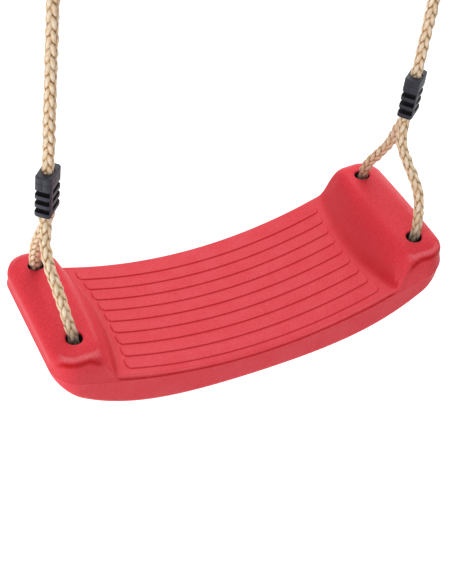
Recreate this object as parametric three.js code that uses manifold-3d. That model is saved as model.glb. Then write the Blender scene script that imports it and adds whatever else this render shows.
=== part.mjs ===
// A playground swing seat: a moulded plastic seat, dished along its length, with a raised lug at each end.
// Each end hangs on one rope, which runs down through the lug, under the seat and up again into a clamp.
// Above, the rope ends in a clamped eye round a steel ring. Millimetres, +Z up, +X along the seat.
// The origin is the point inside the left ring on which the swing hangs.
import * as THREE from "three";
import { mergeVertices } from "three/addons/utils/BufferGeometryUtils.js";
import Module from "manifold-3d";

// Seat outline, at the parting line where it is widest
const SEAT_LENGTH = 389.2;
const SEAT_WIDTH = 153;
const CORNER_RADIUS = 23.4;

// Seat deck: an arc of this radius, which runs on straight beyond DECK_ARC_END, slightly crowned across
const DECK_RADIUS = 393.7;
const DECK_ARC_END = 125;
const DECK_CROWN = 1; // drop from the centre line to DECK_CROWN_AT
const DECK_CROWN_AT = 66;

// Lugs, and the slopes that lead up to them
const LUG_HEIGHT = 59.4; // above the middle of the deck's strips, at the holes' place along X
const LUG_CROWN = 3; // drop from the centre line to LUG_CROWN_AT
const LUG_CROWN_AT = 72;
const LUG_TILT = 0.015; // rise outwards
const SLOPE_START = 124; // on the centre line
const SLOPE_START_FLARE = 12.8; // how much further out it starts at LUG_CROWN_AT
const SLOPE_LENGTH = 30;
const SLOPE_LENGTH_FLARE = -12;
const SLOPE_FOOT = 0.5; // the share of the slope that is hollow; the rest, up to its top, is rounded
const SLOPE_END = 156; // beyond all of the slope

// Edge of the top panel: rounded, with a small step at its foot, over a wall that leans out to the parting line
const DECK_EDGE_HEIGHT = 4.1;
const DECK_EDGE_WIDTH = 3.6;
const LUG_EDGE_HEIGHT = 9;
const LUG_EDGE_WIDTH = 7;
const EDGE_LOW = 5; // panel height above the parting line up to which the edge is the deck's
const EDGE_HIGH = 26; // and from which it would be a full lug's
const EDGE_STEP = 0.4;
const WALL_DRAFT = 0.12;
const WALL_LEAST = 0.5;

// Parting line: a shallow curve, along which a thin bead stands out
const PARTING_DROP = 5.3; // below the middle of the strips
const PARTING_RADIUS = 410;
const PARTING_EASE = 5.36; // how much lower than that curve it is at the seat's ends
const BEAD_STAND = 0.3;
const BEAD_HEIGHT = 0.6;

// Seat underside
const SEAT_DEPTH = 35.2; // from the middle of the strips to the middle of the underside
const UNDER_RADIUS = 960;
const UNDER_LIFT = 40.3; // how much higher than that curve it is at the seat's ends
const SIDE_SKIRT_INSET = 1.8; // how far the skirt draws in from the parting line to the bottom edge
const END_SKIRT_INSET = 0.8;
const SIDE_BOTTOM_ROUND = 7.2;
const END_BOTTOM_ROUND = 9.7;

// Raised strips on the deck
const STRIP_COUNT = 9;
const STRIP_PITCH = 15.2;
const STRIP_GAP = 2.2;
const STRIP_HEIGHT = 1.1;
const STRIP_CORNER = 4.5;
const STRIP_DRAFT = 0.5;
const STRIP_HALF_LENGTH = 121.6; // of the middle strip
const STRIP_FLARE = 5.2; // how much longer the outermost strips are at each end
const STRIP_ROOT = 1.5; // how deep a strip's solid reaches into the deck

// Stiffening grooves in the underside
const GROOVE_COUNT = 5;
const GROOVE_PITCH = 22;
const GROOVE_WIDTH = 9;
const GROOVE_DEPTH = 3.5;
const GROOVE_HALF_LENGTH = 112;

// Rope and the holes and channels that it runs in
const ROPE_DIAMETER = 10;
const ROPE_SIDES = 8;
const HOLE_X = 168;
const HOLE_Y = 49.4;
const HOLE_DIAMETER = 14.6;
const HOLE_EDGE_ROUND = 1.6;
const ROPE_BEND = 12; // radius of the rope's turn under the seat
const ROPE_COVER = 2.4; // how far the rope under the seat lies inside the underside
const CHANNEL_CLEARANCE = 0.6; // round the rope in its channel
const SEATING_GAP = 0.3; // between pieces that rest on each other

// Clamps, the moulded blocks that hold two rope lengths side by side
const CLAMP_WIDTH = 22.5; // along the pair of ropes
const CLAMP_THICKNESS = 12.9;
const CLAMP_HEIGHT = 38.8;
const CLAMP_CORNER = 1.8;
const CLAMP_EDGE = 0.8;
const CLAMP_SLOTS = 3;
const SLOT_HEIGHT = 4.6;
const SLOT_PITCH = 8.6;
const SLOT_DEPTH = 2.2;
const FIRST_SLOT = 7.1; // from the two-rope end of the clamp to the middle of the first slot
const SLOT_END_WALL = 0.8; // beside the closed corner on the narrow faces
const SLOT_POST = 6; // beside the closed corner on the wide faces
const SOCKET_DIAMETER = 11.4; // the recess that the single rope comes out of
const SOCKET_DEPTH = 3.2;
const PAIR_SPACING = 10.4; // between the two rope lengths where they leave a clamp

// Rings and the rope eyes on them
const RING_INNER_DIAMETER = 44;
const RING_BAR = 8;
const EYE_ARCH_RADIUS = 11;
const EYE_LENGTH = 36; // from the upper clamp to the middle of the ring's bar
const UPPER_CLAMP_BOTTOM = 368; // height of the upper clamps above the middle of the deck's strips

// How each side hangs: the lower clamp's bottom, the rope's lean along X, and the turn of the clamp
const SIDES = [
  {
    name: "left",
    holeX: -HOLE_X,
    clampFoot: new THREE.Vector3(-168.4, 0, 161.5),
    lean: 0.085,
    clampTurn: 49,
    frontLeg: [
      [-172.3, -6, 150],
      [-174.2, -9, 142.5],
      [-175.8, -11.6, 135.5],
      [-176.3, -14.8, 128.5],
      [-175.8, -19.5, 118],
      [-174.4, -25, 106],
      [-172.8, -30, 95],
      [-171.2, -35, 83],
      [-169.9, -40.2, 71.5],
      [-168.6, -45.3, 62.5],
      [-168.2, -48.2, 56],
      [-168, -49.3, 48],
    ],
    rearLeg: [
      [-165.7, 7, 148.5],
      [-166.6, 13, 136],
      [-168.5, 19.4, 123.3],
      [-170.4, 25.5, 111.5],
      [-171.4, 31, 100],
      [-171.5, 35.3, 90],
      [-171.2, 39.4, 80],
      [-170.4, 43.2, 69.5],
      [-168.9, 47.2, 60],
      [-168.2, 48.8, 55],
      [-168, 49.3, 48],
    ],
  },
  {
    name: "right",
    holeX: HOLE_X,
    clampFoot: new THREE.Vector3(173.8, 0, 165.1),
    lean: 0.07,
    clampTurn: 40,
    frontLeg: [
      [167.6, -5.4, 153],
      [166.2, -7.6, 146],
      [165.7, -10.4, 139],
      [166.5, -14, 132],
      [168.9, -20.4, 122],
      [171.5, -26, 113],
      [173.9, -32, 103.5],
      [174.9, -36.4, 94.5],
      [174.6, -39.8, 85],
      [173.6, -43, 75],
      [171.8, -46.4, 65.5],
      [169.4, -48.1, 58.5],
      [168.4, -48.8, 54],
      [168, -49.3, 47],
    ],
    rearLeg: [
      [176.8, 6.2, 153.5],
      [175.9, 11.6, 141],
      [175.3, 16.2, 128],
      [174.5, 21, 116],
      [172.8, 26.8, 104],
      [170.4, 33.6, 92],
      [168.6, 39.4, 82],
      [167.8, 43.6, 72],
      [167.8, 46, 64],
      [167.9, 47.8, 56],
      [168, 49, 48],
    ],
  },
];

const wasm = await Module();
wasm.setup();

const SEAT_RED = new THREE.MeshStandardMaterial({ color: 0xd8303f, roughness: 0.5, metalness: 0 });
const ROPE_HEMP = new THREE.MeshStandardMaterial({ color: 0xd9c09a, roughness: 0.85, metalness: 0 });
const CLAMP_BLACK = new THREE.MeshStandardMaterial({ color: 0x2b2c33, roughness: 0.55, metalness: 0 });
const RING_STEEL = new THREE.MeshStandardMaterial({ color: 0xb4b7ba, roughness: 0.35, metalness: 0.9 });

// Solids

function solidFrom(geometry) {
  const bare = geometry.index ? geometry.toNonIndexed() : geometry.clone();
  bare.deleteAttribute("normal");
  bare.deleteAttribute("uv");
  const merged = mergeVertices(bare, 1e-4);
  return new wasm.Manifold(
    new wasm.Mesh({
      numProp: 3,
      vertProperties: merged.attributes.position.array,
      triVerts: new Uint32Array(merged.index.array),
    }),
  );
}

function geometryFrom(solid) {
  const mesh = solid.getMesh();
  const geometry = new THREE.BufferGeometry();
  geometry.setAttribute("position", new THREE.BufferAttribute(new Float32Array(mesh.vertProperties), 3));
  geometry.setIndex(new THREE.BufferAttribute(new Uint32Array(mesh.triVerts), 1));
  geometry.computeVertexNormals();
  return geometry;
}

// A list of triangles that skips those of no area, as at a corner where a ring closes to a point.
class TriangleList {
  constructor() {
    this.positions = [];
  }

  triangle(a, b, c) {
    const area = new THREE.Vector3().crossVectors(b.clone().sub(a), c.clone().sub(a)).length();
    if (area > 1e-6) this.positions.push(...a.toArray(), ...b.toArray(), ...c.toArray());
  }

  quad(a, b, c, d) {
    this.triangle(a, b, c);
    this.triangle(a, c, d);
  }

  geometry() {
    const geometry = new THREE.BufferGeometry();
    geometry.setAttribute("position", new THREE.Float32BufferAttribute(this.positions, 3));
    return geometry;
  }
}

// A closed solid through rings of points that all have the same count, with flat or fanned ends.
function loft(rings) {
  const list = new TriangleList();
  const count = rings[0].length;
  for (let level = 0; level + 1 < rings.length; level += 1)
    for (let i = 0; i < count; i += 1) {
      const j = (i + 1) % count;
      list.quad(rings[level][i], rings[level][j], rings[level + 1][j], rings[level + 1][i]);
    }
  const first = rings[0];
  const last = rings[rings.length - 1];
  for (let i = 1; i + 1 < count; i += 1) {
    list.triangle(first[0], first[i + 1], first[i]);
    list.triangle(last[0], last[i], last[i + 1]);
  }
  return list.geometry();
}

function polygonShape(radius, sides) {
  const points = [];
  for (let i = 0; i < sides; i += 1) {
    const angle = ((i + 0.5) / sides) * 2 * Math.PI;
    points.push(new THREE.Vector2(radius * Math.cos(angle), radius * Math.sin(angle)));
  }
  return new THREE.Shape(points);
}

function tubeAlong(points, radius, steps, sides = ROPE_SIDES) {
  return new THREE.ExtrudeGeometry(polygonShape(radius, sides), {
    steps,
    extrudePath: new THREE.CatmullRomCurve3(points, false, "centripetal"),
  });
}

// Seat surfaces, as heights over the seat's plan

const arcRise = (x, radius) => radius - Math.sqrt(radius * radius - x * x);

function deckHeight(x, y) {
  const inArc = Math.min(Math.abs(x), DECK_ARC_END);
  const slope = inArc / Math.sqrt(DECK_RADIUS * DECK_RADIUS - inArc * inArc);
  const along = arcRise(inArc, DECK_RADIUS) + (Math.abs(x) - inArc) * slope;
  return along - STRIP_HEIGHT - DECK_CROWN * (y / DECK_CROWN_AT) ** 2;
}

function lugHeight(x, y) {
  return LUG_HEIGHT + LUG_TILT * (Math.abs(x) - HOLE_X) - LUG_CROWN * (y / LUG_CROWN_AT) ** 2;
}

function topHeight(x, y) {
  const side = (y / LUG_CROWN_AT) ** 2;
  const start = SLOPE_START + SLOPE_START_FLARE * side;
  const length = SLOPE_LENGTH + SLOPE_LENGTH_FLARE * side;
  const share = THREE.MathUtils.clamp((Math.abs(x) - start) / length, 0, 1);
  const rounded = 1 - (1 - share) ** 2 / (1 - SLOPE_FOOT);
  const rise = share < SLOPE_FOOT ? share ** 2 / SLOPE_FOOT : rounded;
  return THREE.MathUtils.lerp(deckHeight(x, y), lugHeight(x, y), rise);
}

function partingHeight(x) {
  return (x * x) / (2 * PARTING_RADIUS) - PARTING_DROP - PARTING_EASE * ((2 * x) / SEAT_LENGTH) ** 4;
}

function underHeight(x) {
  return (x * x) / (2 * UNDER_RADIUS) - SEAT_DEPTH + UNDER_LIFT * ((2 * x) / SEAT_LENGTH) ** 4;
}

// The seat's plan: an inner rectangle, and outward directions round it, so that each ring follows the outline

const innerX = SEAT_LENGTH / 2 - CORNER_RADIUS;
const innerY = SEAT_WIDTH / 2 - CORNER_RADIUS;

function evenSteps(from, to, count) {
  return Array.from({ length: count }, (_, i) => from + ((to - from) * i) / count);
}

function lengthStations() {
  const slope = evenSteps(DECK_ARC_END, SLOPE_END, 10);
  const half = [...evenSteps(0, DECK_ARC_END, 8), ...slope, ...evenSteps(SLOPE_END, innerX, 3), innerX];
  const mirrored = half.slice(1).map((x) => -x);
  return [...mirrored.reverse(), ...half];
}

const xStations = lengthStations();
const yStations = [...evenSteps(-innerY, innerY, 6), innerY];

function planStations() {
  const stations = [];
  const add = (x, y, angle) => stations.push({ x, y, nx: Math.cos(angle), ny: Math.sin(angle) });
  const quarter = Math.PI / 2;
  const corner = (x, y, from) => evenSteps(from, from + quarter, 7).forEach((angle) => add(x, y, angle));
  for (const y of yStations.slice(0, -1)) add(innerX, y, 0);
  corner(innerX, innerY, 0);
  for (const x of [...xStations].reverse().slice(0, -1)) add(x, innerY, quarter);
  corner(-innerX, innerY, quarter);
  for (const y of [...yStations].reverse().slice(0, -1)) add(-innerX, y, 2 * quarter);
  corner(-innerX, -innerY, 2 * quarter);
  for (const x of xStations.slice(0, -1)) add(x, -innerY, 3 * quarter);
  corner(innerX, -innerY, 3 * quarter);
  return stations;
}

const outline = planStations();

// The point that lies inward from the outline at a station, at a height that is a function of place.
function skinPoint(station, inward, height) {
  const reach = CORNER_RADIUS - inward;
  const x = station.x + station.nx * reach;
  const y = station.y + station.ny * reach;
  return new THREE.Vector3(x, y, height(x, y));
}

// How high and wide the top panel's rounded edge is at a station, and how far in it ends.
function panelEdge(station) {
  const parting = partingHeight(skinPoint(station, 0, () => 0).x);
  const edge = { parting, inward: DECK_EDGE_WIDTH + EDGE_STEP };
  for (let pass = 0; pass < 3; pass += 1) {
    const rise = skinPoint(station, edge.inward, topHeight).z - parting;
    const share = THREE.MathUtils.smoothstep(rise, EDGE_LOW, EDGE_HIGH);
    edge.height = Math.min(THREE.MathUtils.lerp(DECK_EDGE_HEIGHT, LUG_EDGE_HEIGHT, share), rise - WALL_LEAST);
    edge.width = THREE.MathUtils.lerp(DECK_EDGE_WIDTH, LUG_EDGE_WIDTH, share);
    edge.foot = rise - edge.height;
    edge.wallInward = WALL_DRAFT * edge.foot;
    edge.inward = edge.wallInward + EDGE_STEP + edge.width;
  }
  return edge;
}

// The skin's points at one station, from the top panel over the edge and down the skirt to the underside.
function stationPoints(station) {
  const edge = panelEdge(station);
  const points = [];
  const add = (inward, height) => points.push(skinPoint(station, inward, height));
  add(CORNER_RADIUS, topHeight);
  add((CORNER_RADIUS + edge.inward) / 2, topHeight);
  add(edge.inward, topHeight);
  for (const angle of [58, 32, 12, 0].map(THREE.MathUtils.degToRad)) {
    const inward = edge.wallInward + EDGE_STEP + edge.width * (1 - Math.cos(angle));
    add(inward, () => edge.parting + edge.foot + edge.height * Math.sin(angle));
  }
  add(edge.wallInward + BEAD_STAND / 2, () => edge.parting + edge.foot);
  const beadHalf = BEAD_HEIGHT / 2;
  const beadFoot = Math.min(BEAD_STAND, edge.foot / 3);
  add(BEAD_STAND, () => edge.parting + beadFoot + BEAD_STAND / 3);
  add(0, () => edge.parting + Math.min(beadHalf, edge.foot / 4));
  add(0, () => edge.parting - beadHalf);
  add(BEAD_STAND, () => edge.parting - beadHalf - BEAD_STAND);
  const sideShare = station.ny ** 2;
  const inset = THREE.MathUtils.lerp(END_SKIRT_INSET, SIDE_SKIRT_INSET, sideShare);
  const round = THREE.MathUtils.lerp(END_BOTTOM_ROUND, SIDE_BOTTOM_ROUND, sideShare);
  const skirtTop = edge.parting - beadHalf - BEAD_STAND;
  for (const share of [0.5, 1]) {
    const height = (x) => THREE.MathUtils.lerp(skirtTop, underHeight(x) + round, share);
    add(THREE.MathUtils.lerp(BEAD_STAND, inset, share), height);
  }
  for (const angle of [30, 60, 90].map(THREE.MathUtils.degToRad))
    add(inset + round * (1 - Math.cos(angle)), (x) => underHeight(x) + round * (1 - Math.sin(angle)));
  add(CORNER_RADIUS, underHeight);
  return points;
}

function seatSkin() {
  const list = new TriangleList();
  const columns = outline.map(stationPoints);
  const count = outline.length;
  for (let level = 0; level + 1 < columns[0].length; level += 1)
    for (let i = 0; i < count; i += 1) {
      const [here, next] = [columns[i], columns[(i + 1) % count]];
      list.quad(here[level], here[level + 1], next[level + 1], next[level]);
    }
  const top = (x, y) => new THREE.Vector3(x, y, topHeight(x, y));
  const bottom = (x, y) => new THREE.Vector3(x, y, underHeight(x));
  for (let i = 0; i + 1 < xStations.length; i += 1)
    for (let j = 0; j + 1 < yStations.length; j += 1) {
      const [x0, x1, y0, y1] = [xStations[i], xStations[i + 1], yStations[j], yStations[j + 1]];
      list.quad(top(x0, y0), top(x1, y0), top(x1, y1), top(x0, y1));
      list.quad(bottom(x0, y0), bottom(x0, y1), bottom(x1, y1), bottom(x1, y0));
    }
  return list.geometry();
}

// A bar that follows a curve along X, with rounded ends in plan and sides that lean by the draft.
function curvedBar(halfLength, y, width, corner, draft, lower, upper) {
  const stations = [];
  const middle = halfLength - corner;
  const ends = [90, 60, 30, 0].map(THREE.MathUtils.degToRad);
  const half = [
    ...evenSteps(0, middle, 7).map((x) => [x, width / 2]),
    ...ends.map((a) => [middle + corner * Math.cos(a), width / 2 - corner * (1 - Math.sin(a))]),
  ];
  for (const [x, w] of [...half.slice(1)].reverse()) stations.push([-x, w]);
  stations.push(...half);
  const list = new TriangleList();
  const section = ([x, w]) => [
    new THREE.Vector3(x, y - w, lower(x, y - w)),
    new THREE.Vector3(x, y + w, lower(x, y + w)),
    new THREE.Vector3(x, y + w - draft, upper(x, y + w - draft)),
    new THREE.Vector3(x, y - w + draft, upper(x, y - w + draft)),
  ];
  const sections = stations.map(section);
  for (let i = 0; i + 1 < sections.length; i += 1)
    for (let k = 0; k < 4; k += 1) {
      const m = (k + 1) % 4;
      list.quad(sections[i][m], sections[i + 1][m], sections[i + 1][k], sections[i][k]);
    }
  const [first, last] = [sections[0], sections[sections.length - 1]];
  list.quad(first[3], first[2], first[1], first[0]);
  list.quad(last[0], last[1], last[2], last[3]);
  return list.geometry();
}

function strip(index) {
  const place = index - (STRIP_COUNT - 1) / 2;
  const outward = place / ((STRIP_COUNT - 1) / 2);
  const halfLength = STRIP_HALF_LENGTH + STRIP_FLARE * outward * outward;
  const lower = (x, across) => deckHeight(x, across) - STRIP_ROOT;
  const upper = (x, across) => deckHeight(x, across) + STRIP_HEIGHT;
  const width = STRIP_PITCH - STRIP_GAP;
  return curvedBar(halfLength, place * STRIP_PITCH, width, STRIP_CORNER, STRIP_DRAFT, lower, upper);
}

function underGroove(index) {
  const place = index - (GROOVE_COUNT - 1) / 2;
  const lower = (x) => underHeight(x) - 2;
  const upper = (x) => underHeight(x) + GROOVE_DEPTH;
  const draft = GROOVE_WIDTH / 6;
  const corner = GROOVE_WIDTH / 2;
  return curvedBar(GROOVE_HALF_LENGTH, place * GROOVE_PITCH, GROOVE_WIDTH, corner, draft, lower, upper);
}

// The rope's way through a lug: down one hole, along under the seat, and up the other

const ropeRadius = ROPE_DIAMETER / 2;
const runHeight = underHeight(HOLE_X) + ROPE_COVER + ropeRadius;

function underSeatRoute(holeX) {
  const points = [];
  const turn = (y, from, to) => {
    for (const share of [0, 0.25, 0.5, 0.75, 1]) {
      const angle = THREE.MathUtils.degToRad(THREE.MathUtils.lerp(from, to, share));
      const dy = ROPE_BEND * Math.cos(angle);
      const dz = ROPE_BEND * Math.sin(angle);
      points.push(new THREE.Vector3(holeX, y + dy, runHeight + ROPE_BEND + dz));
    }
  };
  const straightTop = runHeight + ROPE_BEND + 14;
  points.push(new THREE.Vector3(holeX, -HOLE_Y, straightTop));
  turn(-HOLE_Y + ROPE_BEND, 180, 270);
  points.push(new THREE.Vector3(holeX, 0, runHeight));
  turn(HOLE_Y - ROPE_BEND, -90, 0);
  points.push(new THREE.Vector3(holeX, HOLE_Y, straightTop));
  return points;
}

function holeCutter(holeX, y) {
  const radius = HOLE_DIAMETER / 2;
  const bottom = runHeight + ROPE_BEND - 0.7;
  const rim = lugHeight(holeX, y);
  const profile = [new THREE.Vector2(0, bottom), new THREE.Vector2(radius, bottom)];
  for (const share of [0, 0.33, 0.67, 1]) {
    const angle = (share * Math.PI) / 2;
    const r = radius + HOLE_EDGE_ROUND * (1 - Math.cos(angle));
    profile.push(new THREE.Vector2(r, rim - HOLE_EDGE_ROUND * (1 - Math.sin(angle))));
  }
  profile.push(new THREE.Vector2(radius + HOLE_EDGE_ROUND, rim + 2));
  profile.push(new THREE.Vector2(0, rim + 2));
  return new THREE.LatheGeometry(profile, 24).rotateX(Math.PI / 2).translate(holeX, y, 0);
}

// The channel is open downwards, so that the rope can be laid in: outside the rope's bends nothing is left.
function channelSlot(holeX) {
  const bendTop = runHeight + ROPE_BEND;
  const bendY = HOLE_Y - ROPE_BEND;
  const endY = HOLE_Y + ropeRadius + CHANNEL_CLEARANCE + 0.4;
  const low = underHeight(HOLE_X) - 8;
  const shape = new THREE.Shape();
  shape.moveTo(-endY, low).lineTo(endY, low).lineTo(endY, bendTop).lineTo(HOLE_Y, bendTop);
  shape.absarc(bendY, bendTop, ROPE_BEND, 0, -Math.PI / 2, true);
  shape.lineTo(-bendY, runHeight);
  shape.absarc(-bendY, bendTop, ROPE_BEND, -Math.PI / 2, -Math.PI, true);
  shape.lineTo(-endY, bendTop);
  const halfWidth = ropeRadius + SEATING_GAP;
  const slot = new THREE.ExtrudeGeometry(shape, { depth: 2 * halfWidth, bevelEnabled: false, curveSegments: 5 });
  const axes = [new THREE.Vector3(0, 1, 0), new THREE.Vector3(0, 0, 1), new THREE.Vector3(1, 0, 0)];
  slot.applyMatrix4(new THREE.Matrix4().makeBasis(...axes));
  return slot.translate(holeX - halfWidth, 0, 0);
}

function channelCutters(holeX) {
  const sides = 2 * ROPE_SIDES;
  const radius = (ropeRadius + CHANNEL_CLEARANCE) / Math.cos(Math.PI / sides);
  return [tubeAlong(underSeatRoute(holeX), radius, 40, sides), channelSlot(holeX)];
}

function seatGeometry() {
  let seat = solidFrom(seatSkin());
  for (let i = 0; i < STRIP_COUNT; i += 1) seat = seat.add(solidFrom(strip(i)));
  for (let i = 0; i < GROOVE_COUNT; i += 1) seat = seat.subtract(solidFrom(underGroove(i)));
  for (const side of SIDES) {
    for (const y of [-HOLE_Y, HOLE_Y]) seat = seat.subtract(solidFrom(holeCutter(side.holeX, y)));
    for (const cutter of channelCutters(side.holeX)) seat = seat.subtract(solidFrom(cutter));
  }
  return geometryFrom(seat);
}

// Clamps. In a clamp's own frame, the two-rope end is at z = 0, the ropes lie side by side along X.

function roundedRectangle(width, depth, corner, z) {
  const points = [];
  const [x, y] = [width / 2 - corner, depth / 2 - corner];
  const centres = [[x, y], [-x, y], [-x, -y], [x, -y]];
  centres.forEach(([cx, cy], index) => {
    for (const share of [0, 0.5, 1]) {
      const angle = ((index + share) * Math.PI) / 2;
      points.push(new THREE.Vector3(cx + corner * Math.cos(angle), cy + corner * Math.sin(angle), z));
    }
  });
  return points;
}

function box(x0, x1, y0, y1, z0, z1) {
  const geometry = new THREE.BoxGeometry(x1 - x0, y1 - y0, z1 - z0);
  return geometry.translate((x0 + x1) / 2, (y0 + y1) / 2, (z0 + z1) / 2);
}

function clampGeometry() {
  const [w, t, h] = [CLAMP_WIDTH, CLAMP_THICKNESS, CLAMP_HEIGHT];
  const ring = (inset, z) => roundedRectangle(w - 2 * inset, t - 2 * inset, CLAMP_CORNER, z);
  const body = loft([ring(CLAMP_EDGE, 0), ring(0, CLAMP_EDGE), ring(0, h - CLAMP_EDGE), ring(CLAMP_EDGE, h)]);
  let clamp = solidFrom(body);
  const [x, y, outside] = [w / 2, t / 2, 1];
  for (let i = 0; i < CLAMP_SLOTS; i += 1) {
    const middle = FIRST_SLOT + i * SLOT_PITCH;
    const [z0, z1] = [middle - SLOT_HEIGHT / 2, middle + SLOT_HEIGHT / 2];
    // Each slot wraps one corner: across a narrow face and along most of a wide face, and again half a turn on.
    const narrow = box(x - SLOT_DEPTH, x + outside, -y - outside, y - SLOT_END_WALL, z0, z1);
    const wide = box(-x + SLOT_POST, x + outside, -y - outside, -y + SLOT_DEPTH, z0, z1);
    const pair = solidFrom(narrow).add(solidFrom(wide));
    clamp = clamp.subtract(pair);
    clamp = clamp.subtract(pair.rotate([0, 0, 180]));
  }
  const socket = new THREE.CylinderGeometry(SOCKET_DIAMETER / 2, SOCKET_DIAMETER / 2, 2 * SOCKET_DEPTH, 16);
  clamp = clamp.subtract(solidFrom(socket.rotateX(Math.PI / 2).translate(0, 0, h)));
  return geometryFrom(clamp);
}

// Ropes

const zAxis = new THREE.Vector3(0, 0, 1);

function hangDirection(side) {
  return new THREE.Vector3(side.lean, 0, 1).normalize();
}

function pairDirection(side) {
  const turn = THREE.MathUtils.degToRad(side.clampTurn);
  const across = new THREE.Vector3(Math.cos(turn), Math.sin(turn), 0);
  const hang = hangDirection(side);
  return across.addScaledVector(hang, -across.dot(hang)).normalize();
}

// A point on the side's hanging line, at a height above the middle of the deck.
function hangPoint(side, z) {
  return side.clampFoot.clone().addScaledVector(hangDirection(side), distanceTo(side, z));
}

function distanceTo(side, z) {
  return (z - side.clampFoot.z) / hangDirection(side).z;
}

function legEnd(side, sign, drop) {
  const start = side.clampFoot.clone().addScaledVector(pairDirection(side), (sign * PAIR_SPACING) / 2);
  return start.addScaledVector(hangDirection(side), -drop);
}

function loopGeometry(side) {
  const vectors = (list) => list.map((p) => new THREE.Vector3(...p));
  const points = [
    legEnd(side, -1, SEATING_GAP),
    legEnd(side, -1, SEATING_GAP + 4),
    ...vectors(side.frontLeg),
    ...underSeatRoute(side.holeX),
    ...vectors(side.rearLeg).reverse(),
    legEnd(side, 1, SEATING_GAP + 4),
    legEnd(side, 1, SEATING_GAP),
  ];
  return tubeAlong(points, ropeRadius, 68);
}

function lineGeometry(side) {
  const direction = hangDirection(side);
  const inSocket = CLAMP_HEIGHT - SOCKET_DEPTH + SEATING_GAP;
  const bottom = side.clampFoot.clone().addScaledVector(direction, inSocket);
  const upperFoot = hangPoint(side, UPPER_CLAMP_BOTTOM);
  const top = upperFoot.addScaledVector(direction, SOCKET_DEPTH - SEATING_GAP);
  const middle = bottom.clone().lerp(top, 0.5);
  return tubeAlong([bottom, middle, top], ropeRadius, 7);
}

// The upper clamp's two-rope end, and the middle of the ring's bar above it
const upperClampTop = (side) => distanceTo(side, UPPER_CLAMP_BOTTOM) + CLAMP_HEIGHT;
const barHeight = UPPER_CLAMP_BOTTOM + CLAMP_HEIGHT + EYE_LENGTH;
const barCentre = (side) => hangPoint(side, barHeight);

function eyeGeometry(side) {
  const direction = hangDirection(side);
  const place = (y, along) => {
    const point = barCentre(side).addScaledVector(direction, along);
    return point.setY(y);
  };
  const archCentre = RING_BAR / 2 + SEATING_GAP + ropeRadius - EYE_ARCH_RADIUS;
  const foot = upperClampTop(side) + SEATING_GAP - distanceTo(side, barHeight);
  const half = PAIR_SPACING / 2;
  const points = [place(-half, foot), place(-half, foot + 3), place(-half - 1.2, foot + 9)];
  for (const degrees of [195, 165, 135, 110, 90, 70, 45, 15, -15]) {
    const angle = THREE.MathUtils.degToRad(degrees);
    const y = EYE_ARCH_RADIUS * Math.cos(angle);
    points.push(place(y, archCentre + EYE_ARCH_RADIUS * Math.sin(angle)));
  }
  points.push(place(half + 1.2, foot + 9), place(half, foot + 3), place(half, foot));
  return tubeAlong(points, ropeRadius, 26);
}

function ringGeometry() {
  return new THREE.TorusGeometry((RING_INNER_DIAMETER + RING_BAR) / 2, RING_BAR / 2, 10, 28);
}

// Assembly

function named(name, geometry, material) {
  const mesh = new THREE.Mesh(geometry, material);
  mesh.name = name;
  return mesh;
}

function standUp(mesh, side, pair, flip) {
  const up = hangDirection(side).multiplyScalar(flip ? -1 : 1);
  const along = pair.clone();
  const across = new THREE.Vector3().crossVectors(up, along);
  mesh.setRotationFromMatrix(new THREE.Matrix4().makeBasis(along, across, up));
  return mesh;
}

function hangingPieces(side) {
  const lower = named(`${side.name}_lower_clamp`, clampGeometry(), CLAMP_BLACK);
  standUp(lower, side, pairDirection(side), false).position.copy(side.clampFoot);

  const upper = named(`${side.name}_upper_clamp`, clampGeometry(), CLAMP_BLACK);
  const foot = side.clampFoot.clone().addScaledVector(hangDirection(side), upperClampTop(side));
  standUp(upper, side, new THREE.Vector3(0, 1, 0), true).position.copy(foot);

  const ring = named(`${side.name}_ring`, ringGeometry(), RING_STEEL);
  const ringRadius = (RING_INNER_DIAMETER + RING_BAR) / 2;
  ring.rotateX(Math.PI / 2);
  ring.position.copy(barCentre(side).addScaledVector(hangDirection(side), ringRadius));

  return [
    named(`${side.name}_rope_loop`, loopGeometry(side), ROPE_HEMP),
    lower,
    named(`${side.name}_rope_line`, lineGeometry(side), ROPE_HEMP),
    upper,
    named(`${side.name}_rope_eye`, eyeGeometry(side), ROPE_HEMP),
    ring,
  ];
}

// The bearing point inside the left ring, where a hook carries the swing, becomes the origin.
function hangingPoint() {
  const left = SIDES[0];
  const ringCentre = barCentre(left).addScaledVector(hangDirection(left), (RING_INNER_DIAMETER + RING_BAR) / 2);
  return ringCentre.addScaledVector(zAxis, RING_INNER_DIAMETER / 2);
}

const swing = new THREE.Group();
swing.add(named("seat", seatGeometry(), SEAT_RED));
for (const side of SIDES) swing.add(...hangingPieces(side));
swing.position.copy(hangingPoint().negate());

const part = new THREE.Group();
part.add(swing);

export default part;
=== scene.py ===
"""Playground swing: a moulded seat on two plaited ropes, with moulded clamps, rope eyes and steel rings."""
from collections import namedtuple
from math import atan2, cos, exp, hypot, pi, radians, sin, sqrt

import bpy
import bmesh
import numpy as np
from mathutils import Matrix, Vector
from mathutils.kdtree import KDTree
from numpy.linalg import norm


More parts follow.
